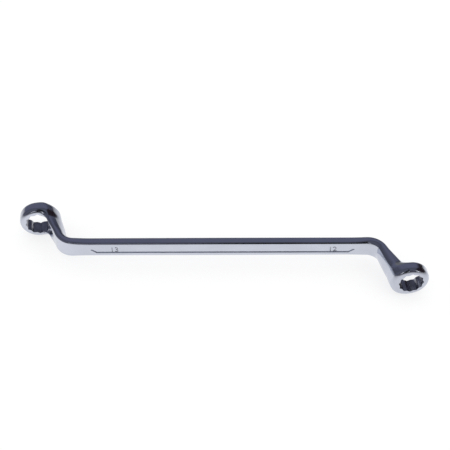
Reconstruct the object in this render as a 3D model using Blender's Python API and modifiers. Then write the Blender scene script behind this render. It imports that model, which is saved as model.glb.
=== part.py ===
"""Double-ended ring spanner for 13 mm and 12 mm nuts, forged in one piece.

The spanner lies on its side, the way it rests on a bench: X runs along the shank, Z is up, and
both rings stand on the outside of their walls. The shank's wide faces look along Y. At each end
the shank turns through a bend into a neck that widens into a ring, and the two rings lie on
opposite sides of the shank. Each ring has a twelve-point socket with a lead-in at both mouths,
and each wide face of the shank has a long shallow panel. Lengths are in metres.
"""

import math
from collections import namedtuple

import bpy
import bmesh
from mathutils import Matrix, Vector

# Nuts that the two sockets take, measured across their flats
LEFT_ACROSS_FLATS = 0.013
RIGHT_ACROSS_FLATS = 0.012

# Shank: its straight run, and its section at the middle and where it starts to widen
SHANK_LENGTH = 0.161
SHANK_WIDTH = 0.0099
SHANK_END_WIDTH = 0.00975
SHANK_THICKNESS = 0.005
SHANK_EDGE_RADIUS = 0.0011

# Bends, and the necks after them. A neck grows towards the inside of its bend, so its section
# there lies off the centreline by its shift.
BEND_RADIUS = 0.0089
NECK_ANGLE = math.radians(71.5)
LEFT_NECK_LENGTH = 0.01725
RIGHT_NECK_LENGTH = 0.0189
NECK_WIDTH = 0.0129
NECK_THICKNESS = 0.0053
NECK_SHIFT = 0.0007
NECK_EDGE_RADIUS = 0.0015

# Half way along the neck. The crown is how far the side away from the ring draws in at its edges.
MIDDLE_WIDTH = 0.014
MIDDLE_THICKNESS = 0.0078
MIDDLE_CROWN = 0.0024
MIDDLE_EDGE_RADIUS = 0.0016

# The foot of each neck, where it joins its ring
FOOT_WIDTH_SHARE = 0.765
FOOT_THICKNESS = 0.008
FOOT_CROWN = 0.0048
FOOT_EDGE_RADIUS = 0.0025
FOOT_TIP_RADIUS = 0.0021
FOOT_SET_BACK = 0.00005

# Rings
RING_TILT = math.radians(6.3)
RING_WALL = 0.003
LEFT_RING_HEIGHT = 0.0081
RIGHT_RING_HEIGHT = 0.0076
RING_EDGE_RADIUS = 0.0017

# Sockets: the lead-in at each mouth, and the room above a ring for a stud that comes through
LEAD_IN_DEPTH = 0.0006
RELIEF_LENGTH = 0.015

# Panels in the wide faces
PANEL_LENGTH = 0.148
PANEL_WIDTH = 0.0049
PANEL_POINT_LENGTH = 0.0033
PANEL_DEPTH = 0.00045

# How far a cut runs on past the face that it leaves through
OVERRUN = 0.001

# How finely the round shapes are divided
CORNER_STEPS = 4
FACE_STEPS = 6
BEND_STEPS = 12
NECK_STEPS = 6
EDGE_STEPS = 4
RING_STEPS = 64

HEX_SIDES = 6
HEXAGONS = 2
QUARTERS = 4

CHROME_COLOUR = (0.62, 0.64, 0.67, 1.0)
CHROME_ROUGHNESS = 0.12
SHARP_ANGLE = math.radians(30)

# One end of the spanner. Both ends are worked out for the right-hand side, where the neck runs
# towards +X and -Y, and side -1 gives the left-hand one the same shape turned half round.
End = namedtuple("End", "name side across_flats neck_length ring_height")
LEFT_END = End("left", -1, LEFT_ACROSS_FLATS, LEFT_NECK_LENGTH, LEFT_RING_HEIGHT)
RIGHT_END = End("right", 1, RIGHT_ACROSS_FLATS, RIGHT_NECK_LENGTH, RIGHT_RING_HEIGHT)

UP = Vector((0, 0, 1))

# A ring's axis would stand square to the shank but for its tilt
RING_ANGLE = math.pi / 2 - RING_TILT

# The neck's centreline leans this much from its ring's axis
LEAN = math.cos(RING_ANGLE - NECK_ANGLE)

# Round shapes are turned by part of a facet, so that no edge of one meets an edge of another or
# a corner of the socket
HALF_FACET = Matrix.Rotation(math.pi / RING_STEPS, 4, "Z")
QUARTER_FACET = Matrix.Rotation(math.pi / RING_STEPS / 2, 4, "Z")


def socket_corner_radius(end):
    """Radius of the circle through the socket's corners, which are those of a hexagon."""
    return end.across_flats / math.sqrt(3)


def ring_radius(end):
    """Outer radius of the ring, one wall outside the socket's corners."""
    return socket_corner_radius(end) + RING_WALL


def heading(angle):
    """The bar's direction once it has turned by an angle from +X towards -Y."""
    return Vector((math.cos(angle), -math.sin(angle), 0))


def outward(angle):
    """Direction across the bar's thickness, towards the outside of its bend."""
    return Vector((math.sin(angle), math.cos(angle), 0))


def bend_point(angle):
    """Point on the bend's centreline where the bar has turned by an angle."""
    reach = SHANK_LENGTH / 2 + BEND_RADIUS * math.sin(angle)
    drop = BEND_RADIUS * (1 - math.cos(angle))
    return Vector((reach, -drop, 0))


def neck_point(end, distance):
    """Point on the neck's straight centreline, measured from the bend."""
    return bend_point(NECK_ANGLE) + heading(NECK_ANGLE) * distance


def ring_frame(end):
    """Placing of a ring: its X away from the neck, its Y up, its Z out of the working face.

    The neck's centreline meets the ring's middle plane on the circle of the socket's corners.
    """
    centre = neck_point(end, end.neck_length) + outward(RING_ANGLE) * socket_corner_radius(end)
    across = outward(RING_ANGLE) * end.side
    axis = heading(RING_ANGLE) * end.side
    frame = Matrix((across, UP, axis)).transposed().to_4x4()
    frame.translation = centre * end.side
    return frame


def blend(start, finish, share):
    """The value that lies a given share of the way from start to finish."""
    return start + (finish - start) * share


def staged(values, share):
    """A size that changes evenly between its values at the neck's start, middle and end."""
    place = share * (len(values) - 1)
    index = min(int(place), len(values) - 2)
    return blend(values[index], values[index + 1], place - index)


def rounded_outline(thickness, width, radius):
    """Places across and up of a rounded rectangle, with steps along both of its wide faces."""
    outline = []
    for quarter in range(QUARTERS):
        middle = (quarter + 0.5) * math.pi / 2
        corner_across = math.copysign(thickness / 2 - radius, math.cos(middle))
        corner_up = math.copysign(width / 2 - radius, math.sin(middle))
        for step in range(CORNER_STEPS + 1):
            turn = (quarter + step / CORNER_STEPS) * math.pi / 2
            outline.append((corner_across + radius * math.cos(turn), corner_up + radius * math.sin(turn)))
        if quarter % 2:
            face = math.copysign(thickness / 2, math.cos(middle))
            for step in range(1, FACE_STEPS):
                outline.append((face, blend(corner_up, -corner_up, step / FACE_STEPS)))
    return outline


def bar_section(end, centre, angle, thickness, width, radius, shift=0, crown=0):
    """A section of the bar about a point of the right-hand side, square to the heading there.

    It is a rounded rectangle that a shift carries away from the ring. The crown draws its side
    away from the ring in, by the square of the height and not at all on the ring's side.
    """
    points = []
    for across, up in rounded_outline(thickness, width, radius):
        away_share = 0.5 - end.side * across / thickness
        drawn_in = crown * (2 * up / width) ** 2 * away_share - shift
        points.append(centre * end.side + outward(angle) * (across + end.side * drawn_in) + UP * up)
    return points


def shank_section(end):
    """The section where the panels end and the shank starts to widen."""
    centre = Vector((PANEL_LENGTH / 2, 0, 0))
    return bar_section(end, centre, 0, SHANK_THICKNESS, SHANK_END_WIDTH, SHANK_EDGE_RADIUS)


def bend_sections(end):
    """Sections round the bend, growing from the shank's size to the neck's."""
    run_up = (SHANK_LENGTH - PANEL_LENGTH) / 2
    whole_run = run_up + BEND_RADIUS * NECK_ANGLE
    sections = []
    for step in range(BEND_STEPS + 1):
        angle = NECK_ANGLE * step / BEND_STEPS
        share = (run_up + BEND_RADIUS * angle) / whole_run
        thickness = blend(SHANK_THICKNESS, NECK_THICKNESS, share)
        width = blend(SHANK_END_WIDTH, NECK_WIDTH, share)
        radius = blend(SHANK_EDGE_RADIUS, NECK_EDGE_RADIUS, share)
        shift = NECK_SHIFT * share
        sections.append(bar_section(end, bend_point(angle), angle, thickness, width, radius, shift))
    return sections


def neck_sections(end):
    """Sections down the neck, which swing from square to the neck to level with the ring."""
    foot_width = 2 * ring_radius(end) * FOOT_WIDTH_SHARE
    sections = []
    for step in range(1, NECK_STEPS + 1):
        share = step / NECK_STEPS
        angle = blend(NECK_ANGLE, RING_ANGLE, share)
        thickness = staged((NECK_THICKNESS, MIDDLE_THICKNESS, FOOT_THICKNESS), share)
        thickness /= math.cos(angle - NECK_ANGLE)
        width = staged((NECK_WIDTH, MIDDLE_WIDTH, foot_width), share)
        radius = staged((NECK_EDGE_RADIUS, MIDDLE_EDGE_RADIUS, FOOT_EDGE_RADIUS), share)
        shift = staged((NECK_SHIFT, 0, 0), share)
        crown = staged((0, MIDDLE_CROWN, FOOT_CROWN), share)
        centre = neck_point(end, end.neck_length * share)
        sections.append(bar_section(end, centre, angle, thickness, width, radius, shift, crown))
    return sections


def foot_sections(end):
    """Sections on through the ring, rounded over where they come to its working face."""
    foot_width = 2 * ring_radius(end) * FOOT_WIDTH_SHARE
    face = end.ring_height / 2 - FOOT_SET_BACK
    sections = []
    for step in range(EDGE_STEPS + 1):
        turn = step / EDGE_STEPS * math.pi / 2
        inset = FOOT_TIP_RADIUS * (1 - math.cos(turn))
        depth = face - FOOT_TIP_RADIUS * (1 - math.sin(turn))
        centre = neck_point(end, end.neck_length + depth / LEAN)
        thickness = FOOT_THICKNESS / LEAN - 2 * inset
        width = foot_width - 2 * inset
        radius = FOOT_EDGE_RADIUS - inset
        sections.append(bar_section(end, centre, RING_ANGLE, thickness, width, radius, 0, FOOT_CROWN))
    return sections


def end_sections(end):
    """All of one end's sections, from the shank outwards."""
    return [shank_section(end)] + bend_sections(end) + neck_sections(end) + foot_sections(end)


def finish_mesh(name, shape):
    """Turn an edited shape into a mesh whose faces point outwards."""
    bmesh.ops.recalc_face_normals(shape, faces=shape.faces)
    mesh = bpy.data.meshes.new(name)
    shape.to_mesh(mesh)
    shape.free()
    return mesh


def bar_mesh():
    """Loft of the shank, the bends and the necks, from the left ring to the right one."""
    origin = Vector((0, 0, 0))
    middle = bar_section(RIGHT_END, origin, 0, SHANK_THICKNESS, SHANK_WIDTH, SHANK_EDGE_RADIUS)
    left_half = list(reversed(end_sections(LEFT_END)))
    sections = left_half + [middle] + end_sections(RIGHT_END)
    shape = bmesh.new()
    loops = [[shape.verts.new(point) for point in section] for section in sections]
    for near, far in zip(loops, loops[1:]):
        for index, corner in enumerate(near):
            shape.faces.new((near[index - 1], corner, far[index], far[index - 1]))
    shape.faces.new(loops[0])
    shape.faces.new(loops[-1])
    return finish_mesh("spanner", shape)


def ring_profile(end):
    """Outline of half a ring blank from its working face to its back, with rounded edges."""
    edge_height = end.ring_height / 2 - RING_EDGE_RADIUS
    edge_reach = ring_radius(end) - RING_EDGE_RADIUS
    points = [(0, end.ring_height / 2)]
    for step in range(EDGE_STEPS + 1):
        turn = step / EDGE_STEPS * math.pi / 2
        reach = edge_reach + RING_EDGE_RADIUS * math.sin(turn)
        points.append((reach, edge_height + RING_EDGE_RADIUS * math.cos(turn)))
    return points + [(reach, -height) for reach, height in reversed(points)]


def add_object(name, mesh, collection, frame=None):
    """A new object in a collection, placed by a frame."""
    item = bpy.data.objects.new(name, mesh)
    if frame is not None:
        item.matrix_world = frame
    collection.objects.link(item)
    return item


def add_ring_blank(end, collection):
    """The ring before its socket is cut: the profile turned round the ring's axis."""
    points = ring_profile(end)
    mesh = bpy.data.meshes.new(end.name + "_ring_blank")
    vertices = [(reach, 0, height) for reach, height in points]
    edges = [(index, index + 1) for index in range(len(points) - 1)]
    mesh.from_pydata(vertices, edges, [])
    blank = add_object(mesh.name, mesh, collection, ring_frame(end) @ HALF_FACET)
    turning = blank.modifiers.new("turned", "SCREW")
    turning.axis = "Z"
    turning.steps = RING_STEPS
    turning.render_steps = RING_STEPS
    turning.use_merge_vertices = True
    turning.merge_threshold = FOOT_SET_BACK / 10
    return blank


def cone_mesh(name, sides, low_radius, high_radius, low, high, turn=0):
    """A prism or cone on the Z axis between two heights, turned about that axis."""
    shape = bmesh.new()
    placing = Matrix.Translation((0, 0, (low + high) / 2)) @ Matrix.Rotation(turn, 4, "Z")
    bmesh.ops.create_cone(
        shape,
        cap_ends=True,
        segments=sides,
        radius1=low_radius,
        radius2=high_radius,
        depth=high - low,
        matrix=placing,
    )
    return finish_mesh(name, shape)


def socket_cutters(end, collection):
    """Two hexagons a twelfth of a turn apart, which leave twelve points."""
    reach = end.ring_height / 2 + OVERRUN
    cutters = []
    for index in range(HEXAGONS):
        turn = index * 2 * math.pi / (HEX_SIDES * HEXAGONS)
        name = f"{end.name}_hexagon_{index + 1}"
        radius = socket_corner_radius(end)
        mesh = cone_mesh(name, HEX_SIDES, radius, radius, -reach, reach, turn)
        cutters.append(add_object(name, mesh, collection, ring_frame(end)))
    return cutters


def lead_in_cutters(end, collection):
    """A cone at each mouth, at half a right angle, from just outside it to clear of the flats."""
    face = end.ring_height / 2
    mouth_radius = socket_corner_radius(end) + LEAD_IN_DEPTH
    outside = face + LEAD_IN_DEPTH / 2
    outside_radius = mouth_radius + LEAD_IN_DEPTH / 2
    inside_radius = end.across_flats / 2 - LEAD_IN_DEPTH
    inside = face - (mouth_radius - inside_radius)
    front = cone_mesh(end.name + "_front_lead_in", RING_STEPS, inside_radius, outside_radius,
                      inside, outside)
    back = cone_mesh(end.name + "_back_lead_in", RING_STEPS, outside_radius, inside_radius,
                     -outside, -inside)
    frame = ring_frame(end) @ QUARTER_FACET
    return [add_object(mesh.name, mesh, collection, frame) for mesh in (front, back)]


def relief_cutter(end, collection):
    """Room for a stud behind the ring: a round cut that fades out up the neck."""
    start = end.ring_height / 2 - LEAD_IN_DEPTH / 4
    radius = socket_corner_radius(end) + LEAD_IN_DEPTH / 2
    name = end.name + "_stud_relief"
    mesh = cone_mesh(name, RING_STEPS, radius, radius, -start - RELIEF_LENGTH, -start)
    return add_object(name, mesh, collection, ring_frame(end) @ HALF_FACET)


def panel_cutter(side, collection):
    """A long flat plate with pointed ends, sunk into one wide face of the shank."""
    tip = PANEL_LENGTH / 2
    shoulder = tip - PANEL_POINT_LENGTH
    half_width = PANEL_WIDTH / 2
    floor = SHANK_THICKNESS / 2 - PANEL_DEPTH
    outline = [(-tip, 0), (-shoulder, -half_width), (shoulder, -half_width),
               (tip, 0), (shoulder, half_width), (-shoulder, half_width)]
    shape = bmesh.new()
    base = shape.faces.new([shape.verts.new((x, side * floor, z)) for x, z in outline])
    raised = bmesh.ops.extrude_face_region(shape, geom=[base])["geom"]
    moved = [item for item in raised if isinstance(item, bmesh.types.BMVert)]
    bmesh.ops.translate(shape, verts=moved, vec=Vector((0, side * (PANEL_DEPTH + OVERRUN), 0)))
    name = "panel_cutter_front" if side < 0 else "panel_cutter_back"
    return add_object(name, finish_mesh(name, shape), collection)


def stand_on_bench(spanner, everything):
    """Carry the spanner and its cutters to the bench: the middle of its box over the origin, and
    its lowest point at no height."""
    bpy.context.view_layer.update()
    shape = spanner.evaluated_get(bpy.context.evaluated_depsgraph_get())
    corners = [Vector(corner) for corner in shape.bound_box]
    low = Vector([min(corner[axis] for corner in corners) for axis in range(3)])
    high = Vector([max(corner[axis] for corner in corners) for axis in range(3)])
    middle = (low + high) / 2
    bench = bpy.data.objects.new("bench_place", None)
    bench.location = (-middle.x, -middle.y, -low.z)
    bpy.context.scene.collection.objects.link(bench)
    for item in everything:
        item.parent = bench
    bpy.context.view_layer.update()


def add_boolean(target, operand, operation):
    """Join or cut the target with another object, which stays in the file as a guide."""
    operand.display_type = "WIRE"
    operand.hide_render = True
    modifier = target.modifiers.new(operand.name, "BOOLEAN")
    modifier.operation = operation
    modifier.solver = "EXACT"
    modifier.object = operand


def chrome_material():
    """Bright chrome plate on polished steel."""
    material = bpy.data.materials.new("chrome_plate")
    material.use_nodes = True
    shader = material.node_tree.nodes["Principled BSDF"]
    shader.inputs["Base Color"].default_value = CHROME_COLOUR
    shader.inputs["Metallic"].default_value = 1.0
    shader.inputs["Roughness"].default_value = CHROME_ROUGHNESS
    return material


def clear_scene():
    """Take away whatever the file holds at the start."""
    for item in list(bpy.data.objects):
        bpy.data.objects.remove(item, do_unlink=True)


def new_collection(name):
    """An empty collection in the scene."""
    collection = bpy.data.collections.new(name)
    bpy.context.scene.collection.children.link(collection)
    return collection


def main():
    clear_scene()
    part = new_collection("ring_spanner")
    guides = new_collection("cutters")
    spanner = add_object("spanner", bar_mesh(), part)
    spanner.data.materials.append(chrome_material())
    for end in (LEFT_END, RIGHT_END):
        add_boolean(spanner, add_ring_blank(end, guides), "UNION")
    for end in (LEFT_END, RIGHT_END):
        cuts = socket_cutters(end, guides) + lead_in_cutters(end, guides)
        for cutter in cuts + [relief_cutter(end, guides)]:
            add_boolean(spanner, cutter, "DIFFERENCE")
    for side in (-1, 1):
        add_boolean(spanner, panel_cutter(side, guides), "DIFFERENCE")
    spanner.data.shade_smooth()
    spanner.data.set_sharp_from_angle(angle=SHARP_ANGLE)
    stand_on_bench(spanner, [spanner] + list(guides.objects))


main()
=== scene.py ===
"""Looks of a deep-offset double-ended ring spanner for 13 mm and 12 mm nuts.

The spanner is one drop forging, polished and chrome plated, so it is one piece here as well. Its
outside is worked out as a distance: how far any point in space lies from the metal. The forms of
shank, bend, neck and ring are simple distances, and eased minimums and maximums join them with
the soft fillets of a forging. A net of quads is then drawn over the places where the distance is
nought. What a machine cuts afterwards (sockets, lead-ins, panels and size figures) is cut with
Booleans, so that its edges stay crisp.

Lengths are in metres, X runs along the shank, Z is up, and the spanner lies on its rings.
"""

import math
from collections import namedtuple

import bpy
import numpy as np
from mathutils import Matrix, Vector


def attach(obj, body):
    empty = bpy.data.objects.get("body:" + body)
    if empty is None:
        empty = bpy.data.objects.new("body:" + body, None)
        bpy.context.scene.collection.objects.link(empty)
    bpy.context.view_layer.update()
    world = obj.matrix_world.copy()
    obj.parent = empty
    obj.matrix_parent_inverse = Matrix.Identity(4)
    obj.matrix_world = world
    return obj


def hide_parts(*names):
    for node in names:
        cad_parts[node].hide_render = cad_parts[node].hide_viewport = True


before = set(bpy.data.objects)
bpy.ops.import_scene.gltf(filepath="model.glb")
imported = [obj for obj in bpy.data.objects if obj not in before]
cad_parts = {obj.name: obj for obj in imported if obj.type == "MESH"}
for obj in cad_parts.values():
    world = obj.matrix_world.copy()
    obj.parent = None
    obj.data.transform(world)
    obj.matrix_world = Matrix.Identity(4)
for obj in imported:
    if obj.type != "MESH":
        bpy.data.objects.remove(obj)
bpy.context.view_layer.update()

# Nuts that the two sockets take, measured across their flats
LEFT_ACROSS_FLATS = 0.013
RIGHT_ACROSS_FLATS = 0.012

# Shank: its straight run, and its section at the middle and where it starts to widen
SHANK_LENGTH = 0.161
SHANK_WIDTH = 0.0099
SHANK_END_WIDTH = 0.00975
SHANK_THICKNESS = 0.005
SHANK_EDGE_RADIUS = 0.0011
SHANK_RUN_UP = 0.006

# Bends, and the necks after them. Away and toward are how far the metal reaches from the bar's
# centreline, away from the ring and towards it. The side away from the ring is crowned. Its reaches
# and the radii of its crown in section are given for the start, the middle and the foot of each
# neck. Off the middle, the crown straightens towards flanks of the given slope.
BEND_RADIUS = 0.0089
NECK_ANGLE = math.radians(71.5)
LEFT_NECK_LENGTH = 0.01725
RIGHT_NECK_LENGTH = 0.0189
LEFT_AWAY_REACHES = (0.0045, 0.0046, 0.0043)
RIGHT_AWAY_REACHES = (0.0035, 0.0040, 0.0040)
LEFT_CROWN_RADII = (0.0062, 0.0031, 0.0037)
RIGHT_CROWN_RADII = (0.009, 0.009, 0.0085)
FLANK_SLOPE = 1.35
NECK_WIDTH = 0.0129
NECK_TOWARD = 0.00195
NECK_AWAY_RADIUS = 0.0018
NECK_TOWARD_RADIUS = 0.0014

# Half way along the neck
MIDDLE_WIDTH = 0.014
MIDDLE_TOWARD = 0.0037
MIDDLE_AWAY_RADIUS = 0.002
MIDDLE_TOWARD_RADIUS = 0.0015

# The foot of each neck, where it joins its ring
FOOT_WIDTH_SHARE = 0.82
FOOT_TOWARD = 0.005
FOOT_AWAY_RADIUS = 0.002
FOOT_TOWARD_RADIUS = 0.0012
FOOT_FILLET = 0.0036
LEAST_HALF_SECTION = 0.0003

# Sizes along the bar are eased over this much of it to both sides. Both counts are of samples.
EASING_RUN = 0.004
EASING_SAMPLES = 21
PROFILE_SAMPLES = 400

# Rings
RING_TILT = math.radians(6.3)
RING_WALL = 0.003
LEFT_RING_HEIGHT = 0.0081
RIGHT_RING_HEIGHT = 0.0076
RING_EDGE_RADIUS = 0.0023
RING_CROWN = 0.0003
RELIEF_CLEARANCE = 0.0006
RELIEF_EDGE_RADIUS = 0.0006

# Sockets: a fine lead-in at each mouth, and a broached star of twelve corners and twelve notches with
# small roundings. The lead-in's profile starts a little way round its arc, and its points are turned
# off the star's corners.
LEAD_IN_DEPTH = 0.0001
MOUTH_RADIUS = 0.0001
MOUTH_ARC_START = 0.1
LEAD_IN_TURN = 0.37
STAR_CORNER_RADIUS = 0.0002
STAR_NOTCH_RADIUS = 0.0006
STAR_POINTS = 24

# Panels in the wide faces, with sloping walls. Each lies a little nearer to one end. At its tips
# the wall spreads more than at its sides, by the tip spread.
PANEL_LENGTH = 0.1447
PANEL_SHIFT = 0.00165
PANEL_WIDTH = 0.0049
PANEL_POINT_LENGTH = 0.0033
PANEL_DEPTH = 0.0005
PANEL_DRAFT = 0.00025
PANEL_TIP_SPREAD = 1.6
# The wall's outline from the floor up: height as a share of the depth, spread as one of the draft
PANEL_WALL_SHARES = ((0, 0), (0.1, 0.35), (0.3, 0.55), (0.85, 0.8), (1, 1), (3, 4))

# Size figures, stamped into the front panel near the ring that each belongs to, a little below its
# middle. Their strokes are widened by a share of their height. A numeral's height is less than the
# font's size.
FIGURE_HEIGHT = 0.0034
FIGURE_STROKE_SHARE = 0.01
NUMERAL_SHARE = 0.7
FIGURE_CURVE_STEPS = 4
FIGURE_DEPTH = 0.0002
FIGURE_DROP = 0.0003
LEFT_FIGURE_REACH = 0.0576
RIGHT_FIGURE_REACH = 0.062

# How far a cut runs on past the face that it leaves through
OVERRUN = 0.001

# How finely the surface is drawn, and the room for it round the forging. Past a place on the shank
# the steps are fine in all directions. The distance's slope is taken over the slope step, and its
# square is never taken as less than the least steepness.
FINE_STEP = 0.00028
LONG_STEP = 0.0012
FINE_FROM = 0.070
DRAWING_MARGIN = 0.0012
RING_TILT_ROOM = 0.001
SETTLING_ROUNDS = 4
SLOPE_STEP = FINE_STEP / 20
LEAST_STEEPNESS = 0.25
TURN_STEPS = 128
ARC_STEPS = 4
SHARP_ANGLE = math.radians(24)

# Finish of the metal: its tints, the ranges of its roughness, the cells of each pattern in
# millimetres along X, Y and Z, the heights of its waves, lines and scores, and the part of a noise's
# range that is used
CHROME_TINTS = ("#C6CAD6", "#CED2DE")
CHROME_ROUGHNESS = 0.15
HAZE_ROUGHNESS = (0.12, 0.17)
BELT_LINE_ROUGHNESS = (-0.01, 0.03)
# Tints of the broached finish. On the stamped figures' floors they are also painted shade.
BROACHED_AND_FIGURE_SHADE_TINT = "#A3A5AE"
BROACHED_AND_FIGURE_SHADE_TINTS = ("#8F9098", "#ADAFB8")
BROACHED_ROUGHNESS = 0.25
SCORED_ROUGHNESS = (0.2, 0.34)
CLOUD_SIZE = (16, 9, 9)
BELT_LINE_SIZE = (14, 0.4, 0.4)
WAVE_SIZE = (9, 5, 5)
SCORE_SIZE = (0.35, 9, 0.35)
STAIN_SIZE = (2.5, 4, 2.5)
WAVE_HEIGHT = 0.00002
BELT_LINE_HEIGHT = 0.000002
SCORE_HEIGHT = 0.00001
NOISE_LOW = 0.3
NOISE_HIGH = 0.7

# Numbers of a Mix node's sockets where it mixes colours
MIX_SHARE = 0
MIX_FIRST = 6
MIX_SECOND = 7
MIX_RESULT = 2

# Photograph's view: the camera's aim in the middle plane of the spanner, and its stand
FRAME_PIXELS = 450
PIXELS_PER_MM = 1.7873
SENSOR_WIDTH_MM = 36.0
VIEW_ELEVATION = math.radians(46.21)
VIEW_TURN = math.radians(0.914)
VIEW_ROLL = math.radians(-0.85)
VIEW_DISTANCE = 0.610
VIEW_AIM = (0.00332, 0.01692)

# Floor: it gives most of its own white. The pool of light that the metal mirrors there is as long as
# the spanner to both sides, and fades over its reach.
FLOOR_REACH = 30.0
FLOOR_COLOUR = "#F8F8F8"
FLOOR_OWN_COLOUR = "#FFFFFF"
FLOOR_OWN_SHARE = 0.72
LIT_POOL_LENGTH = 0.1
LIT_POOL_REACH = 0.08

# Broad light overhead
OVERHEAD_STRENGTH = 3.4
OVERHEAD_SPREAD = math.radians(150)

# Sky that the metal mirrors, by how far its direction reaches towards the far side (+Y): low on the
# camera's side, high on that side, overhead, and then down to the far side
SKY_BANDS = ((-1.0, "#45464F"), (-0.75, "#55565F"), (-0.5, "#5E606C"), (0.0, "#5E606C"),
             (0.4, "#50525C"), (0.66, "#6B6D80"), (0.78, "#66687A"), (0.95, "#3A3B46"))

# To the right it goes over to brown black, between these two reaches of its direction (+X)
DARK_SIDE_COLOUR = "#2C2428"
DARK_SIDE_FROM = 0.45
DARK_SIDE_TO = 0.66

# Soft-edged patches in that sky. A centre is how far its direction reaches to the right and to the
# far side, and a spread is half the patch's size in each.
Patch = namedtuple("Patch", "name centre spread strength")
PATCHES = (
    Patch("left_lamp", (-0.24, -0.86), (0.24, 0.06), 0.9),
    Patch("middle_lamp", (0.16, -0.925), (0.11, 0.035), 0.9),
    Patch("right_lamp", (0.62, -0.70), (0.12, 0.05), 1.8),
    Patch("far_window", (-0.70, 1.10), (1.0, 0.42), 0.22),
    Patch("camera_stand", (0.045, -0.75), (0.11, 0.90), 0.005),
)
PATCH_EDGE_FROM = 1.0
PATCH_EDGE_TO = 0.5

# The two ends of the spanner
End = namedtuple("End", "name side across_flats neck_length away crown ring_height figures figure_reach")
LEFT_END = End("left", -1, LEFT_ACROSS_FLATS, LEFT_NECK_LENGTH, LEFT_AWAY_REACHES,
               LEFT_CROWN_RADII, LEFT_RING_HEIGHT, "13", LEFT_FIGURE_REACH)
RIGHT_END = End("right", 1, RIGHT_ACROSS_FLATS, RIGHT_NECK_LENGTH, RIGHT_AWAY_REACHES,
                RIGHT_CROWN_RADII, RIGHT_RING_HEIGHT, "12", RIGHT_FIGURE_REACH)
ENDS = (LEFT_END, RIGHT_END)

RING_ANGLE = math.pi / 2 - RING_TILT


def socket_corner_radius(end):
    """Radius of the circle through the socket's corners, which are those of a hexagon."""
    return end.across_flats / math.sqrt(3)


def socket_notch_radius(end):
    """Radius of the circle through the tips of the star's twelve notches."""
    return end.across_flats / 2 / math.cos(math.pi / 12)


def ring_radius(end):
    """Outer radius of the ring, one wall outside the socket's corners."""
    return socket_corner_radius(end) + RING_WALL


def heading(angle):
    """The bar's direction once it has turned by an angle from +X towards -Y."""
    return np.array((math.cos(angle), -math.sin(angle), 0.0))


def outward(angle):
    """Direction across the bar's thickness, towards the outside of its bend."""
    return np.array((math.sin(angle), math.cos(angle), 0.0))


def bend_point(angle):
    """Point on the bend's centreline where the bar has turned by an angle."""
    reach = SHANK_LENGTH / 2 + BEND_RADIUS * math.sin(angle)
    drop = BEND_RADIUS * (1 - math.cos(angle))
    return np.array((reach, -drop, 0.0))


def ring_centre(end):
    """Middle of the ring, worked out for the right-hand side.

    The neck's centreline meets the ring's middle plane on the circle of the socket's corners.
    """
    foot = bend_point(NECK_ANGLE) + heading(NECK_ANGLE) * end.neck_length
    return foot + outward(RING_ANGLE) * socket_corner_radius(end)


def ring_frame(end):
    """Placing of a ring: its X away from the neck, its Y up, its Z out of the working face."""
    across = Vector(outward(RING_ANGLE) * end.side)
    axis = Vector(heading(RING_ANGLE) * end.side)
    placing = Matrix((across, Vector((0, 0, 1)), axis)).transposed().to_4x4()
    placing.translation = Vector(ring_centre(end) * end.side)
    return placing


def eased_minimum(first, second, reach):
    """The lesser of two distances. Where they differ by less than the reach, a parabola rounds
    the change over: the square of what is left of the reach, as a share, times a quarter of it."""
    share = np.maximum(reach - np.abs(first - second), 0) / reach
    return np.minimum(first, second) - share ** 2 * reach / 4


def eased_maximum(first, second, reach):
    """The greater of two distances, rounded over in the same way."""
    return -eased_minimum(-first, -second, reach)


def inside_both(first, second, radius):
    """Distance to what lies inside two shapes, with a round edge where their surfaces meet.

    Both distances are measured from surfaces sunk by the radius. Outside both of these it is the
    hypotenuse of the two, otherwise the greater one, and the radius is taken off again.
    """
    first, second = first + radius, second + radius
    beyond = np.hypot(np.maximum(first, 0), np.maximum(second, 0))
    return beyond + np.minimum(np.maximum(first, second), 0) - radius


def nearest_on_path(x, y, end):
    """How far a point lies from the bar's centreline, towards the ring's side as positive, and
    how far along it the nearest place is.

    The centreline is a straight shank, an arc and a straight neck. Each point is held to the
    nearest place on each of the three, and the closest of the three counts.
    """
    start = SHANK_LENGTH / 2
    on_shank = np.minimum(x, start)
    shank_gap = np.hypot(x - on_shank, y)
    turn = np.clip(np.arctan2(x - start, y + BEND_RADIUS), 0, NECK_ANGLE)
    from_pivot = np.hypot(x - start, y + BEND_RADIUS)
    bend_gap = np.hypot(x - start - BEND_RADIUS * np.sin(turn),
                        y + BEND_RADIUS - BEND_RADIUS * np.cos(turn))
    foot = bend_point(NECK_ANGLE)
    along = heading(NECK_ANGLE)
    across = outward(NECK_ANGLE)
    run = (x - foot[0]) * along[0] + (y - foot[1]) * along[1]
    run = np.clip(run, 0, end.neck_length + end.ring_height)
    off_x, off_y = x - foot[0] - run * along[0], y - foot[1] - run * along[1]
    neck_gap = np.hypot(off_x, off_y)
    gap = np.minimum(shank_gap, np.minimum(bend_gap, neck_gap))
    on_arc = gap == bend_gap
    straight = gap == shank_gap
    travelled = np.where(on_arc, start + BEND_RADIUS * turn, start + BEND_RADIUS * NECK_ANGLE + run)
    travelled = np.where(straight, on_shank, travelled)
    side = np.where(on_arc, from_pivot - BEND_RADIUS, off_x * across[0] + off_y * across[1])
    side = np.where(straight, y, side)
    return np.copysign(gap, side), travelled


def eased_profile(travelled, stations, sizes):
    """A size along the bar: straight runs between stations, whose corners are eased by taking the
    mean over a short stretch of the bar on both sides of each point."""
    table = np.linspace(0, stations[-1] + EASING_RUN, PROFILE_SAMPLES)
    offsets = np.linspace(-EASING_RUN, EASING_RUN, EASING_SAMPLES)
    means = np.interp(np.abs(table[:, None] + offsets), stations, sizes).mean(axis=1)
    return np.interp(travelled, table, means)


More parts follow.
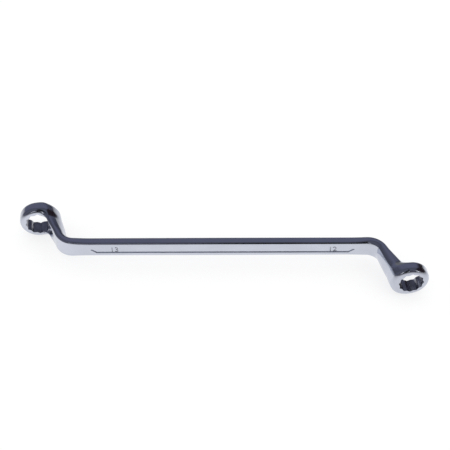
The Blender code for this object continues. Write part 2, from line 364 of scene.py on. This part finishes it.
def bar_distance(x, y, z, end):
    """Distance from the bar: shank, bend and neck.

    In section the bar is a rectangle about the centreline, with unlike rounded edges towards the
    ring and away from it. Along the neck its side away from the ring is a hyperbola, which has the
    crown radius at the middle and straightens to the flank slope further out. With s for that
    slope, c for one over the radius and a for the distance to the side, it drops by s times c
    times the square of a, over the sum of s and the hypotenuse of s and c times a.
    """
    neck_start = SHANK_LENGTH / 2 + BEND_RADIUS * NECK_ANGLE
    stations = (0, SHANK_LENGTH / 2 - SHANK_RUN_UP, neck_start, neck_start + end.neck_length / 2,
                neck_start + end.neck_length)
    across, travelled = nearest_on_path(x, y, end)
    half_foot = ring_radius(end) * FOOT_WIDTH_SHARE
    half_shank = SHANK_THICKNESS / 2
    half_width = eased_profile(travelled, stations, (
        SHANK_WIDTH / 2, SHANK_END_WIDTH / 2, NECK_WIDTH / 2, MIDDLE_WIDTH / 2, half_foot))
    away = eased_profile(travelled, stations, (half_shank, half_shank, *end.away))
    toward = eased_profile(travelled, stations, (
        half_shank, half_shank, NECK_TOWARD, MIDDLE_TOWARD, FOOT_TOWARD))
    crown = eased_profile(travelled, stations, (0, 0, *(1 / radius for radius in end.crown)))
    away_radius = eased_profile(travelled, stations, (
        SHANK_EDGE_RADIUS, SHANK_EDGE_RADIUS, NECK_AWAY_RADIUS, MIDDLE_AWAY_RADIUS, FOOT_AWAY_RADIUS))
    toward_radius = eased_profile(travelled, stations, (
        SHANK_EDGE_RADIUS, SHANK_EDGE_RADIUS, NECK_TOWARD_RADIUS, MIDDLE_TOWARD_RADIUS,
        FOOT_TOWARD_RADIUS))
    aside = np.minimum(np.abs(z), half_width)
    drop = FLANK_SLOPE * crown * aside ** 2 / (FLANK_SLOPE + np.hypot(FLANK_SLOPE, crown * aside))
    low = drop - away
    half_section = np.maximum((toward - low) / 2, LEAST_HALF_SECTION)
    off_middle = across - (toward + low) / 2
    past_face = np.abs(off_middle) - half_section
    radius = np.where(off_middle > 0, toward_radius, away_radius)
    return inside_both(np.abs(z) - half_width, past_face, np.minimum(radius, half_section))


def forging_end(x, y, z, end):
    """Distance from the metal before any cutting, on the right-hand half of a spanner.

    The bar is hollowed behind the ring, to leave room for a stud, and an eased minimum joins it
    to the ring with a fillet. The ring is a cylinder whose wall draws in towards both faces, with
    the cube of the height, and the flat working face trims both with a round edge.
    """
    centre = ring_centre(end)
    axis = heading(RING_ANGLE)
    across = outward(RING_ANGLE)
    height = (x - centre[0]) * axis[0] + (y - centre[1]) * axis[1]
    reach = np.hypot((x - centre[0]) * across[0] + (y - centre[1]) * across[1], z)
    half_height = end.ring_height / 2
    relief = socket_corner_radius(end) + RELIEF_CLEARANCE - reach
    relief = np.where(height < 0, relief, -half_height)
    bar = eased_maximum(bar_distance(x, y, z, end), relief, RELIEF_EDGE_RADIUS)
    wall = reach + RING_CROWN * np.abs(height / half_height) ** 3 - ring_radius(end)
    ring = inside_both(wall, -height - half_height, RING_EDGE_RADIUS)
    joined = eased_minimum(bar, ring, FOOT_FILLET)
    return inside_both(joined, height - half_height, RING_EDGE_RADIUS)


def forging(x, y, z):
    """Distance from the metal of the whole forging. A half turn about Z carries the left half
    onto the right-hand side."""
    x, y, z = np.broadcast_arrays(x, y, z)
    distance = np.empty(x.shape)
    left = x < 0
    distance[left] = forging_end(-x[left], -y[left], z[left], LEFT_END)
    distance[~left] = forging_end(x[~left], y[~left], z[~left], RIGHT_END)
    return distance


def drawing_grid():
    """Coordinates of the drawing grid: fine round both ends, and long in the shank's direction
    along the shank, where nothing changes quickly."""
    reach_x = ring_centre(RIGHT_END)[0] + ring_radius(LEFT_END) + DRAWING_MARGIN
    reach_y = -ring_centre(RIGHT_END)[1] + LEFT_RING_HEIGHT / 2 + DRAWING_MARGIN + RING_TILT_ROOM
    reach_z = ring_radius(LEFT_END) + DRAWING_MARGIN
    fine = np.arange(FINE_FROM, reach_x, FINE_STEP)
    long = np.linspace(-FINE_FROM, FINE_FROM, int(2 * FINE_FROM / LONG_STEP) + 1)[1:-1]
    xs = np.concatenate((-fine[::-1], long, fine))
    ys = np.arange(-reach_y, reach_y, FINE_STEP)
    zs = np.arange(-reach_z, reach_z, FINE_STEP)
    return xs, ys, zs


def net_over(field, xs, ys, zs):
    """Vertices and quads of a closed net over the places where the field is nought.

    Every grid edge whose two ends lie on unlike sides of the surface is crossed once, at a place
    found in proportion to the two values. A cell that has crossed edges gets one vertex, at the
    mean of its crossings, and every crossed edge gets one quad, between the four cells round it.
    """
    inside = field < 0
    coordinates = (xs, ys, zs)
    counts = [size - 1 for size in field.shape]
    total = np.zeros(counts + [3])
    hits = np.zeros(counts)
    crossings = []
    for axis in range(3):
        low = [slice(None)] * 3
        high = [slice(None)] * 3
        low[axis] = slice(0, -1)
        high[axis] = slice(1, None)
        low, high = tuple(low), tuple(high)
        crossed = inside[low] != inside[high]
        places = np.argwhere(crossed)
        share = field[low][crossed] / (field[low][crossed] - field[high][crossed])
        points = np.stack([coordinates[k][places[:, k]] for k in range(3)], axis=1)
        step = coordinates[axis][places[:, axis] + 1] - coordinates[axis][places[:, axis]]
        points[:, axis] += share * step
        others = [k for k in range(3) if k != axis]
        corners = []
        for back_a, back_b in ((0, 0), (1, 0), (1, 1), (0, 1)):
            cells = places.copy()
            cells[:, others[0]] -= back_a
            cells[:, others[1]] -= back_b
            flat = np.ravel_multi_index(cells.T, counts)
            corners.append(flat)
            for k in range(3):
                total[..., k] += np.bincount(flat, points[:, k], hits.size).reshape(counts)
            hits += np.bincount(flat, minlength=hits.size).reshape(counts)
        quads = np.stack(corners, axis=1)
        turned = inside[low][crossed] == (axis == 1)
        quads[turned] = quads[turned][:, ::-1]
        crossings.append(quads)
    quads = np.concatenate(crossings)
    used, quads_of_used = np.unique(quads, return_inverse=True)
    vertices = total.reshape(-1, 3)[used] / hits.reshape(-1)[used][:, None]
    return vertices, quads_of_used.reshape(quads.shape)


def settle(vertices):
    """Move each vertex onto the surface: along the steepest way, by the distance still left,
    with the slope taken from small steps to both sides along each axis."""
    for _ in range(SETTLING_ROUNDS):
        left = forging(*vertices.T)
        slope = np.empty_like(vertices)
        for axis in range(3):
            step = np.zeros(3)
            step[axis] = SLOPE_STEP
            rise = forging(*(vertices + step).T) - forging(*(vertices - step).T)
            slope[:, axis] = rise / (2 * SLOPE_STEP)
        steepness = np.maximum((slope ** 2).sum(axis=1), LEAST_STEEPNESS)
        vertices = vertices - slope * (left / steepness)[:, None]
    return vertices


def mesh_from(name, vertices, faces):
    """A mesh from a whole array of vertices and the faces between them."""
    mesh = bpy.data.meshes.new(name)
    mesh.from_pydata(vertices, [], faces)
    mesh.update()
    return mesh


def forging_mesh():
    """The forging's outside as one closed net."""
    xs, ys, zs = drawing_grid()
    grid = np.meshgrid(xs, ys, zs, indexing="ij", sparse=True)
    field = forging(*grid)
    vertices, quads = net_over(field, xs, ys, zs)
    return mesh_from("spanner", settle(vertices), quads)


def rounded_polygon(corners, radii):
    """Outline of a polygon whose corners are rounded.

    Each corner is replaced by an arc that touches both of its sides: its ends lie on them, the
    radius times the tangent of half the turn away from the corner.
    """
    before = np.roll(corners, 1, axis=0) - corners
    after = np.roll(corners, -1, axis=0) - corners
    before /= np.linalg.norm(before, axis=1)[:, None]
    after /= np.linalg.norm(after, axis=1)[:, None]
    cosine = (before * after).sum(axis=1)
    half_open = np.arccos(np.clip(cosine, -1, 1)) / 2
    middle = before + after
    middle /= np.linalg.norm(middle, axis=1)[:, None]
    centres = corners + middle * (radii / np.sin(half_open))[:, None]
    swing = math.pi / 2 - half_open
    shares = np.linspace(-1, 1, ARC_STEPS + 1)
    side = np.sign(before[:, 0] * after[:, 1] - before[:, 1] * after[:, 0])
    angles = shares[None, :] * (swing * -side)[:, None]
    back = -middle
    cosines, sines = np.cos(angles), np.sin(angles)
    x = back[:, 0, None] * cosines - back[:, 1, None] * sines
    y = back[:, 0, None] * sines + back[:, 1, None] * cosines
    points = centres[:, None, :] + np.stack((x, y), axis=2) * radii[:, None, None]
    return points.reshape(-1, 2)


def socket_outline(end):
    """The broached star: two hexagons a twelfth of a turn apart, with twelve corners and twelve
    notches between them, all slightly rounded."""
    angles = np.arange(STAR_POINTS) * 2 * math.pi / STAR_POINTS
    is_corner = np.arange(STAR_POINTS) % 2 == 0
    reach = np.where(is_corner, socket_corner_radius(end), socket_notch_radius(end))
    corners = np.stack((reach * np.cos(angles), reach * np.sin(angles)), axis=1)
    radii = np.where(is_corner, STAR_CORNER_RADIUS, STAR_NOTCH_RADIUS)
    return rounded_polygon(corners, radii)


def loft_mesh(name, loops):
    """A closed solid over a row of loops with equally many points, flat at both ends."""
    loops = np.asarray(loops)
    count, size = loops.shape[:2]
    first = np.arange(size)
    second = np.roll(first, -1)
    rows = np.arange(count - 1)[:, None] * size
    quads = np.stack((rows + first, rows + second, rows + size + second, rows + size + first), axis=2)
    faces = quads.reshape(-1, 4).tolist()
    faces.append(first[::-1].tolist())
    faces.append((first + (count - 1) * size).tolist())
    return mesh_from(name, loops.reshape(-1, 3), faces)


def lifted(outline, height):
    """A flat outline as points in space at one height."""
    return np.column_stack((outline, np.full(len(outline), height)))


def socket_mesh(end):
    """Cutter for the star, through the ring from face to face."""
    outline = socket_outline(end)
    reach = end.ring_height / 2 + OVERRUN
    return loft_mesh(end.name + "_socket", [lifted(outline, -reach), lifted(outline, reach)])


def lead_in_mesh(end, face):
    """Cutter for the lead-in at one mouth, turned from a profile.

    It only takes the tips off the notches. The profile comes in from outside the face round a
    small convex arc, then runs down a cone at half a right angle until it is clear of the tips.
    """
    mouth = socket_notch_radius(end) + LEAD_IN_DEPTH
    height = end.ring_height / 2
    turns = np.linspace(MOUTH_ARC_START, 1, ARC_STEPS + 1) * math.pi / 4
    touch = mouth + MOUTH_RADIUS * math.tan(math.pi / 8)
    arc_reach = touch - MOUTH_RADIUS * np.sin(turns)
    arc_height = height - MOUTH_RADIUS * (1 - np.cos(turns))
    inner = end.across_flats / 2 - LEAD_IN_DEPTH
    reaches = np.concatenate(([touch + OVERRUN, touch], arc_reach, [inner]))
    heights = np.concatenate(([height + OVERRUN / 2, height + OVERRUN / 20], arc_height,
                              [height - (mouth - inner)]))
    angles = (np.arange(TURN_STEPS) + LEAD_IN_TURN) * 2 * math.pi / TURN_STEPS
    loops = []
    for reach, level in zip(reaches[::-1], heights[::-1]):
        turn = angles if face > 0 else -angles
        circle = np.stack((reach * np.cos(turn), reach * np.sin(turn)), axis=1)
        loops.append(lifted(circle, level * face))
    return loft_mesh(f"{end.name}_lead_in_{'front' if face > 0 else 'back'}", loops)


def panel_mesh(side):
    """Cutter for one panel: a long pointed plate, whose walls slope outwards from a small fillet
    at the floor to a small rounding at the face."""
    floor = SHANK_THICKNESS / 2 - PANEL_DEPTH
    shift = -side * PANEL_SHIFT
    loops = []
    for rise, spread in PANEL_WALL_SHARES:
        grow = PANEL_DRAFT * (spread - 1)
        tip = PANEL_LENGTH / 2 + grow * PANEL_TIP_SPREAD
        shoulder = PANEL_LENGTH / 2 - PANEL_POINT_LENGTH + grow
        half = PANEL_WIDTH / 2 + grow
        x = np.array((-tip, -shoulder, shoulder, tip, shoulder, -shoulder)) + shift
        z = np.array((0, -half, -half, 0, half, half))
        y = np.full(len(x), side * (floor + PANEL_DEPTH * rise))
        loop = np.stack((x, y, z), axis=1)
        loops.append(loop if side < 0 else loop[::-1])
    return loft_mesh("panel_front" if side < 0 else "panel_back", loops)


def figure_mesh(end):
    """Cutter for the stamped size figures of one end: plain numerals, sunk into the panel."""
    words = bpy.data.curves.new(end.name + "_figures", "FONT")
    words.body = end.figures
    words.size = FIGURE_HEIGHT / NUMERAL_SHARE
    words.align_x = "CENTER"
    words.align_y = "CENTER"
    words.extrude = FIGURE_DEPTH
    words.offset = FIGURE_HEIGHT * FIGURE_STROKE_SHARE
    words.resolution_u = FIGURE_CURVE_STEPS
    item = bpy.data.objects.new(words.name, words)
    bpy.context.scene.collection.objects.link(item)
    bpy.context.view_layer.update()
    mesh = bpy.data.meshes.new_from_object(item.evaluated_get(bpy.context.evaluated_depsgraph_get()))
    bpy.data.objects.remove(item)
    floor = SHANK_THICKNESS / 2 - PANEL_DEPTH
    place = Matrix.Translation((end.side * end.figure_reach, -floor, -FIGURE_DROP))
    mesh.transform(place @ Matrix.Rotation(math.pi / 2, 4, "X"))
    return mesh


def add_object(name, mesh):
    """A new object in the scene."""
    item = bpy.data.objects.new(name, mesh)
    bpy.context.scene.collection.objects.link(item)
    return item


def cut(target, cutters):
    """Take every cutter out of the target in one go, and remove the cutters."""
    tray = bpy.data.collections.new("cutting_tray")
    bpy.context.scene.collection.children.link(tray)
    for item in cutters:
        bpy.context.scene.collection.objects.unlink(item)
        tray.objects.link(item)
    modifier = target.modifiers.new("cuts", "BOOLEAN")
    modifier.operation = "DIFFERENCE"
    modifier.solver = "EXACT"
    modifier.operand_type = "COLLECTION"
    modifier.collection = tray
    bpy.context.view_layer.update()
    evaluated = target.evaluated_get(bpy.context.evaluated_depsgraph_get())
    mesh = bpy.data.meshes.new_from_object(evaluated)
    target.modifiers.clear()
    target.data = mesh
    for item in cutters:
        bpy.data.objects.remove(item)
    bpy.data.collections.remove(tray)


def make_spanner():
    """The forging with all its cuts, carried to the bench as the solid lies there."""
    spanner = add_object("spanner_chromed", forging_mesh())
    machined = []
    for end in ENDS:
        for mesh in (socket_mesh(end), lead_in_mesh(end, 1), lead_in_mesh(end, -1)):
            mesh.transform(ring_frame(end))
            machined.append(mesh)
    for side in (-1, 1):
        machined.append(panel_mesh(side))
    for end in ENDS:
        machined.append(figure_mesh(end))
    cut(spanner, [add_object(mesh.name, mesh) for mesh in machined])
    mesh = spanner.data
    mesh.materials.clear()
    mesh.materials.append(chrome_plate())
    mesh.materials.append(broached_chrome_and_figure_shade())
    paint_cuts(mesh)
    places = np.empty(len(mesh.vertices) * 3)
    mesh.vertices.foreach_get("co", places)
    places = places.reshape(-1, 3)
    low, high = places.min(axis=0), places.max(axis=0)
    middle = (low + high) / 2
    places -= np.array((middle[0], middle[1], low[2]))
    mesh.vertices.foreach_set("co", places.reshape(-1))
    mesh.update()
    mesh.shade_smooth()
    mesh.set_sharp_from_angle(angle=SHARP_ANGLE)
    return spanner


def linear(code):
    """A colour written as sRGB hex, as the linear values that a shader takes."""
    values = [int(code[start:start + 2], 16) / 255 for start in (1, 3, 5)]
    values = [value / 12.92 if value <= 0.04045 else ((value + 0.055) / 1.055) ** 2.4
              for value in values]
    return (*values, 1.0)


def add_node(tree, kind, inputs, **settings):
    """A node with its settings, whose inputs, given by name or number, are set to values or linked
    to other nodes' outputs. Returns its first output, or the node itself if it has several."""
    node = tree.nodes.new(kind)
    for name, value in settings.items():
        setattr(node, name, value)
    for name, value in inputs.items():
        socket = node.inputs[name]
        if isinstance(value, bpy.types.NodeSocket):
            tree.links.new(value, socket)
        else:
            socket.default_value = value
    return node.outputs[0] if len(node.outputs) == 1 else node


def new_material(name, base, roughness):
    """A metal with a Principled shader, and the object's own coordinates, in metres."""
    material = bpy.data.materials.new(name)
    material.use_nodes = True
    tree = material.node_tree
    shader = tree.nodes["Principled BSDF"]
    shader.inputs["Base Color"].default_value = linear(base)
    shader.inputs["Metallic"].default_value = 1.0
    shader.inputs["Roughness"].default_value = roughness
    place = add_node(tree, "ShaderNodeTexCoord", {}).outputs["Object"]
    return material, tree, shader, place


def grain(tree, place, size, detail=2.0):
    """Noise whose cells measure so many millimetres along X, Y and Z."""
    per_metre = [1000 / length for length in size]
    stretched = add_node(tree, "ShaderNodeMapping", {"Vector": place, "Scale": per_metre})
    noise = add_node(tree, "ShaderNodeTexNoise", {"Vector": stretched, "Scale": 1.0, "Detail": detail})
    return noise.outputs["Fac"]


def ranged(tree, value, low, high):
    """The used part of a noise's range, spread from low to high."""
    return add_node(tree, "ShaderNodeMapRange", {
        "Value": value, "From Min": NOISE_LOW, "From Max": NOISE_HIGH,
        "To Min": low, "To Max": high}).outputs[0]


def chrome_plate():
    """Chrome over nickel on a wheel-polished forging: a near mirror, slightly blue, with faint
    lines from the polishing belt along the bar, a haze from handling, and the slight waves that a
    forging keeps under its polish. The belt's real lines are finer than these, and wouldn't show."""
    material, tree, shader, place = new_material(
        "chrome_plate_polished", CHROME_TINTS[0], CHROME_ROUGHNESS)
    clouds = grain(tree, place, CLOUD_SIZE, 3.0)
    lines = grain(tree, place, BELT_LINE_SIZE)
    waves = grain(tree, place, WAVE_SIZE, 1.0)
    tint = add_node(tree, "ShaderNodeMix", {
        MIX_SHARE: ranged(tree, clouds, 0, 1), MIX_FIRST: linear(CHROME_TINTS[0]),
        MIX_SECOND: linear(CHROME_TINTS[1])}, data_type="RGBA")
    tree.links.new(tint.outputs[MIX_RESULT], shader.inputs["Base Color"])
    haze = add_node(tree, "ShaderNodeMath", {
        0: ranged(tree, clouds, *HAZE_ROUGHNESS),
        1: ranged(tree, lines, *BELT_LINE_ROUGHNESS)}, operation="ADD")
    tree.links.new(haze, shader.inputs["Roughness"])
    wavy = add_node(tree, "ShaderNodeBump", {
        "Height": waves, "Strength": 1.0, "Distance": WAVE_HEIGHT})
    lined = add_node(tree, "ShaderNodeBump", {
        "Height": lines, "Strength": 1.0, "Distance": BELT_LINE_HEIGHT, "Normal": wavy})
    tree.links.new(lined, shader.inputs["Normal"])
    return material


def broached_chrome_and_figure_shade():
    """The same plating over a broached socket, which no wheel can reach: duller and darker, with
    scores that run through the socket from face to face. The floors of the stamped figures take it
    too. There its darker tint is partly their own unpolished floor and partly painted shade, so that
    the figures read."""
    material, tree, shader, place = new_material(
        "chrome_plate_broached", BROACHED_AND_FIGURE_SHADE_TINT, BROACHED_ROUGHNESS)
    scores = grain(tree, place, SCORE_SIZE)
    stains = grain(tree, place, STAIN_SIZE)
    tint = add_node(tree, "ShaderNodeMix", {
        MIX_SHARE: ranged(tree, stains, 0, 1), MIX_FIRST: linear(BROACHED_AND_FIGURE_SHADE_TINTS[0]),
        MIX_SECOND: linear(BROACHED_AND_FIGURE_SHADE_TINTS[1])}, data_type="RGBA")
    tree.links.new(tint.outputs[MIX_RESULT], shader.inputs["Base Color"])
    tree.links.new(ranged(tree, scores, *SCORED_ROUGHNESS), shader.inputs["Roughness"])
    scored = add_node(tree, "ShaderNodeBump", {
        "Height": scores, "Strength": 1.0, "Distance": SCORE_HEIGHT})
    tree.links.new(scored, shader.inputs["Normal"])
    return material


def paint_cuts(mesh):
    """Give the second material to the faces that no wheel reaches: in the sockets, those whose
    middles lie no further from a ring's axis than the corners, and between its faces; and in the
    stamped figures, those that lie deeper than the panels' floors. On the figures its darker tint is
    partly their unpolished floor and partly painted shade, so that they read."""
    count = len(mesh.polygons)
    middles = np.empty(count * 3)
    mesh.polygons.foreach_get("center", middles)
    middles = np.column_stack((middles.reshape(-1, 3), np.ones(count)))
    chosen = np.zeros(count, dtype=bool)
    for end in ENDS:
        local = middles @ np.array(ring_frame(end).inverted()).T
        reach = np.hypot(local[:, 0], local[:, 1])
        within = np.abs(local[:, 2]) < end.ring_height / 2 - LEAD_IN_DEPTH / 2
        chosen |= within & (reach < socket_corner_radius(end) + STAR_CORNER_RADIUS)
    floor = SHANK_THICKNESS / 2 - PANEL_DEPTH
    # Floors of the stamped figures: their darker tint is partly unpolished metal and partly painted
    # shade
    sunk_figure_shade = np.abs(middles[:, 1]) < floor - FIGURE_DEPTH / 4
    figures_reach = (LEFT_FIGURE_REACH + RIGHT_FIGURE_REACH) / 2
    beside = np.abs(np.abs(middles[:, 0]) - figures_reach) < PANEL_WIDTH
    chosen |= sunk_figure_shade & beside & (np.abs(middles[:, 2]) < PANEL_WIDTH / 2)
    mesh.polygons.foreach_set("material_index", chosen.astype(np.int32))


def make_floor():
    """A plain pale floor, wide enough to fill the view from any side.

    To the eye, and in the metal, most of its white is its own. The rest is lit, and keeps the
    spanner's shadow. The metal mirrors a pool of light about the spanner, which falls off with the
    distance from the shank's line: as one over one plus the square of that distance in reaches.
    """
    corners = np.array(((-1, -1, 0), (1, -1, 0), (1, 1, 0), (-1, 1, 0)), float) * FLOOR_REACH
    floor = add_object("floor", mesh_from("floor", corners, [(0, 1, 2, 3)]))
    material = bpy.data.materials.new("floor_pale")
    material.use_nodes = True
    tree = material.node_tree
    tree.nodes.remove(tree.nodes["Principled BSDF"])
    rays = add_node(tree, "ShaderNodeLightPath", {})
    seen = add_node(tree, "ShaderNodeMath", {
        0: rays.outputs["Is Camera Ray"], 1: rays.outputs["Is Glossy Ray"]}, operation="MAXIMUM")
    seen = add_node(tree, "ShaderNodeMath", {
        0: seen, 1: rays.outputs["Is Transmission Ray"]}, operation="MAXIMUM")
    share = add_node(tree, "ShaderNodeMath", {0: seen, 1: FLOOR_OWN_SHARE}, operation="MULTIPLY")
    place = add_node(tree, "ShaderNodeSeparateXYZ", {
        0: add_node(tree, "ShaderNodeTexCoord", {}).outputs["Object"]})
    along = add_node(tree, "ShaderNodeMath", {0: place.outputs["X"]}, operation="ABSOLUTE")
    past = add_node(tree, "ShaderNodeMath", {0: along, 1: LIT_POOL_LENGTH}, operation="SUBTRACT")
    past = add_node(tree, "ShaderNodeMath", {0: past, 1: 0.0}, operation="MAXIMUM")
    away = add_node(tree, "ShaderNodeCombineXYZ", {0: past, 1: place.outputs["Y"]})
    away = add_node(tree, "ShaderNodeVectorMath", {0: away}, operation="LENGTH").outputs["Value"]
    away = add_node(tree, "ShaderNodeMath", {0: away, 1: LIT_POOL_REACH}, operation="DIVIDE")
    fall = add_node(tree, "ShaderNodeMath", {0: away, 1: away, 2: 1.0}, operation="MULTIPLY_ADD")
    pool = add_node(tree, "ShaderNodeMath", {0: 1.0, 1: fall}, operation="DIVIDE")
    own_light = add_node(tree, "ShaderNodeMath", {
        0: pool, 1: rays.outputs["Is Camera Ray"]}, operation="MAXIMUM")
    lit = add_node(tree, "ShaderNodeBsdfDiffuse", {"Color": linear(FLOOR_COLOUR)})
    own = add_node(tree, "ShaderNodeEmission", {
        "Color": linear(FLOOR_OWN_COLOUR), "Strength": own_light})
    mixed = add_node(tree, "ShaderNodeMixShader", {0: share, 1: lit, 2: own})
    tree.links.new(mixed, tree.nodes["Material Output"].inputs["Surface"])
    floor.data.materials.append(material)


def add_overhead_light():
    """A wide soft light overhead. The metal mirrors the room instead of it."""
    lamp = bpy.data.lights.new("overhead_light", "SUN")
    lamp.energy = OVERHEAD_STRENGTH
    lamp.angle = OVERHEAD_SPREAD
    item = bpy.data.objects.new("overhead_light", lamp)
    item.visible_glossy = False
    bpy.context.scene.collection.objects.link(item)


def inside_patch(tree, direction, patch):
    """How far a direction lies inside a patch, from 0 to 1. The patch is an ellipse: the distance
    from its centre, counted in spreads, fades it out between the two values of its edge."""
    offset = add_node(tree, "ShaderNodeVectorMath", {
        0: direction, 1: (*patch.centre, 0)}, operation="SUBTRACT").outputs["Vector"]
    per_spread = [1 / size for size in patch.spread]
    scaled = add_node(tree, "ShaderNodeVectorMath", {
        0: offset, 1: (*per_spread, 0)}, operation="MULTIPLY").outputs["Vector"]
    length = add_node(tree, "ShaderNodeVectorMath", {
        0: scaled}, operation="LENGTH").outputs["Value"]
    return add_node(tree, "ShaderNodeMapRange", {
        "Value": length, "From Min": PATCH_EDGE_FROM, "From Max": PATCH_EDGE_TO},
        interpolation_type="SMOOTHSTEP").outputs[0]


def make_world():
    """The dim studio that the metal mirrors: grey above and blue grey on the far side, brown black
    to the right, with three lamps, a pale window, and the dark stand of the camera."""
    world = bpy.data.worlds.new("studio")
    bpy.context.scene.world = world
    world.use_nodes = True
    tree = world.node_tree
    direction = add_node(tree, "ShaderNodeTexCoord", {}).outputs["Generated"]
    reaches = add_node(tree, "ShaderNodeSeparateXYZ", {0: direction})
    depth = add_node(tree, "ShaderNodeMapRange", {
        "Value": reaches.outputs["Y"], "From Min": -1.0, "From Max": 1.0}).outputs[0]
    bands = tree.nodes.new("ShaderNodeValToRGB")
    tree.links.new(depth, bands.inputs["Fac"])
    stops = bands.color_ramp.elements
    # A new ramp has two stops
    while len(stops) < len(SKY_BANDS):
        stops.new(0.5)
    for stop, (reach, code) in zip(stops, SKY_BANDS):
        stop.position = (reach + 1) / 2
        stop.color = linear(code)
    to_right = add_node(tree, "ShaderNodeMapRange", {
        "Value": reaches.outputs["X"], "From Min": DARK_SIDE_FROM, "From Max": DARK_SIDE_TO},
        interpolation_type="SMOOTHSTEP").outputs[0]
    colour = add_node(tree, "ShaderNodeMix", {
        MIX_SHARE: to_right, MIX_FIRST: bands.outputs["Color"],
        MIX_SECOND: linear(DARK_SIDE_COLOUR)}, data_type="RGBA").outputs[MIX_RESULT]
    for patch in PATCHES:
        share = inside_patch(tree, direction, patch)
        grey = (patch.strength, patch.strength, patch.strength, 1)
        colour = add_node(tree, "ShaderNodeMix", {
            MIX_SHARE: share, MIX_FIRST: colour, MIX_SECOND: grey},
            data_type="RGBA", label=patch.name).outputs[MIX_RESULT]
    tree.links.new(colour, tree.nodes["Background"].inputs["Color"])


def make_camera():
    """The photograph's view. The distance in the photograph is set by its perspective, and the
    lens follows from it and the scale."""
    aim = Vector((VIEW_AIM[0], VIEW_AIM[1], ring_radius(LEFT_END)))
    flat = math.cos(VIEW_ELEVATION)
    back = Vector((math.sin(VIEW_TURN) * flat, -math.cos(VIEW_TURN) * flat, math.sin(VIEW_ELEVATION)))
    right = Vector((math.cos(VIEW_TURN), math.sin(VIEW_TURN), 0))
    up = back.cross(right)
    tilted_right = right * math.cos(VIEW_ROLL) + up * math.sin(VIEW_ROLL)
    tilted_up = back.cross(tilted_right)
    lens = bpy.data.cameras.new("camera")
    lens.sensor_width = SENSOR_WIDTH_MM
    lens.lens = PIXELS_PER_MM * VIEW_DISTANCE * 1000 * SENSOR_WIDTH_MM / FRAME_PIXELS
    camera = bpy.data.objects.new("camera", lens)
    camera.matrix_world = Matrix((tilted_right, tilted_up, back)).transposed().to_4x4()
    camera.location = aim + back * VIEW_DISTANCE
    bpy.context.scene.collection.objects.link(camera)
    bpy.context.scene.camera = camera


make_camera()
spanner = make_spanner()
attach(spanner, "root")
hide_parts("spanner")
make_floor()
make_world()
add_overhead_light()
bpy.context.scene.view_settings.view_transform = "Standard"
